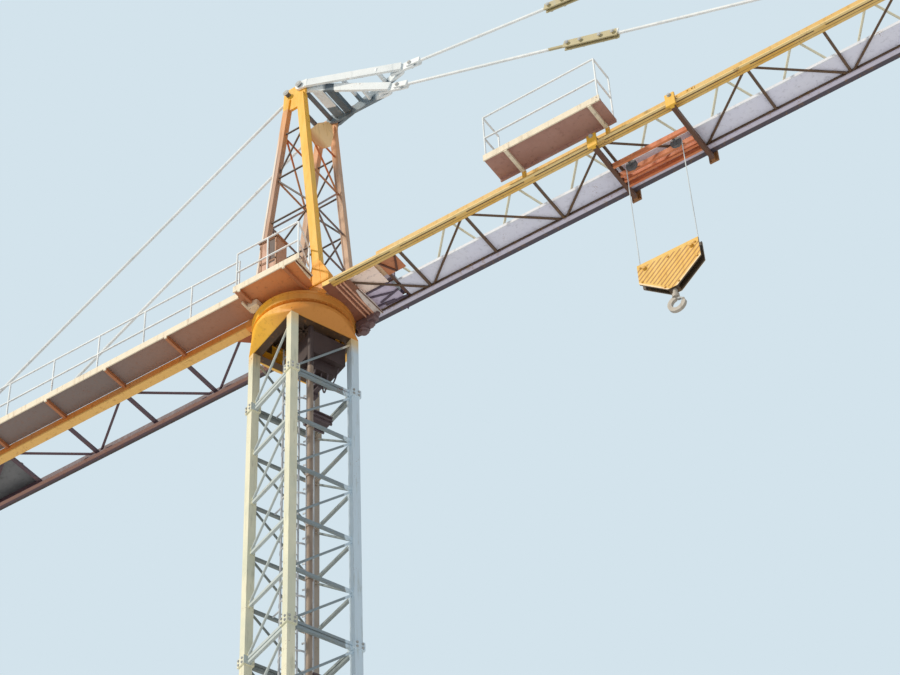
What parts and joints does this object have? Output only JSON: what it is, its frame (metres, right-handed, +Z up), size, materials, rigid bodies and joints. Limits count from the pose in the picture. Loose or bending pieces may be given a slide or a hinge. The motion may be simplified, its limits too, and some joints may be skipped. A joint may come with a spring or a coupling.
{
  "type": "tower crane with saddle jib, 1:10 scale model",
  "caption": "Saddle-jib tower crane, 1:10 scale model: lattice mast, slewing ring, tower head, jib with trolley and hook block, counter jib and walkways.",
  "frame": {"origin": "underside of the anchor cross, on the slewing axis, at ground level", "axes": "+Z up along the slewing axis, +X along the jib as it stands in the picture, +Y to the side without platforms"},
  "size_m": [5.385, 0.3572, 4.2819],
  "materials": {
    "mast_cream": "matt cream paint",
    "yellow_paint": "semi-matt yellow paint",
    "orange_paint": "semi-matt orange paint",
    "red_paint": "semi-matt orange-red paint",
    "grey_paint": "pale grey paint",
    "pale_rail": "white paint",
    "brown_plate": "weathered brown plate",
    "galvanised": "galvanised",
    "brown_plastic": "matt",
    "bare_steel": "worn steel",
    "rope_steel": "wire rope",
    "concrete": null
  },
  "bodies": {
    "tower": {"anchor_cross": "mast_cream", "mast_base_section": "mast_cream", "mast_section_1": "mast_cream", "mast_section_2": "mast_cream", "mast_section_3": "mast_cream", "mast_section_4": "mast_cream", "mast_head_section": "mast_cream", "mast_ladder": "galvanised", "cable_conduit": "brown_plastic", "ring_collar": "orange_paint", "slewing_ring": "orange_paint"},
    "slewing_part": {"turntable": "orange_paint", "slewing_frame": "orange_paint", "head_near_frame": "yellow_paint", "head_far_frame": "orange_paint", "head_cross_bracing": "orange_paint", "head_plate": "brown_plate", "head_axle": "bare_steel", "outer_yoke": "grey_paint", "inner_yoke": "grey_paint", "jib_pendants": "grey_paint", "counter_ties": "grey_paint", "jib_root": "brown_plate", "trolley_winch": "bare_steel", "jib_section_1": "yellow_paint", "jib_section_2": "yellow_paint", "jib_section_3": "yellow_paint", "jib_section_4": "yellow_paint", "jib_section_5": "yellow_paint", "jib_catwalk": "galvanised", "service_platform": "brown_plate", "service_handrail": "pale_rail", "counter_jib_frame": "orange_paint", "walkway": "brown_plate", "walkway_handrail": "pale_rail", "control_cabinet": "brown_plate", "counterweights": "concrete", "hoist_winch": "bare_steel"},
    "trolley": {"trolley_frame": "red_paint", "trolley_wheels": "bare_steel", "trolley_sheaves": "bare_steel", "hoist_ropes": "rope_steel"},
    "hook_block": {"hook_block": "yellow_paint", "block_sheaves": "bare_steel"},
    "hook": {"hook": "bare_steel"}
  },
  "joints": [
    {"name": "slew", "type": "hinge", "parent": "tower", "child": "slewing_part", "pos_m": [0, 0, 3.55], "axis": [0, 0, 1], "continuous": true},
    {"name": "trolley_travel", "type": "slide", "parent": "slewing_part", "child": "trolley", "axis": [1, 0, 0], "range_m": [-0.55, 3.08]},
    {"name": "hoist", "type": "slide", "parent": "trolley", "child": "hook_block", "axis": [0, 0, 1], "range_m": [-3, 0.22], "deforming": ["hoist_ropes"]},
    {"name": "hook_swivel", "type": "hinge", "parent": "hook_block", "child": "hook", "pos_m": [0.825, 0, 3.1789], "axis": [0, 0, 1], "continuous": true}
  ]
}
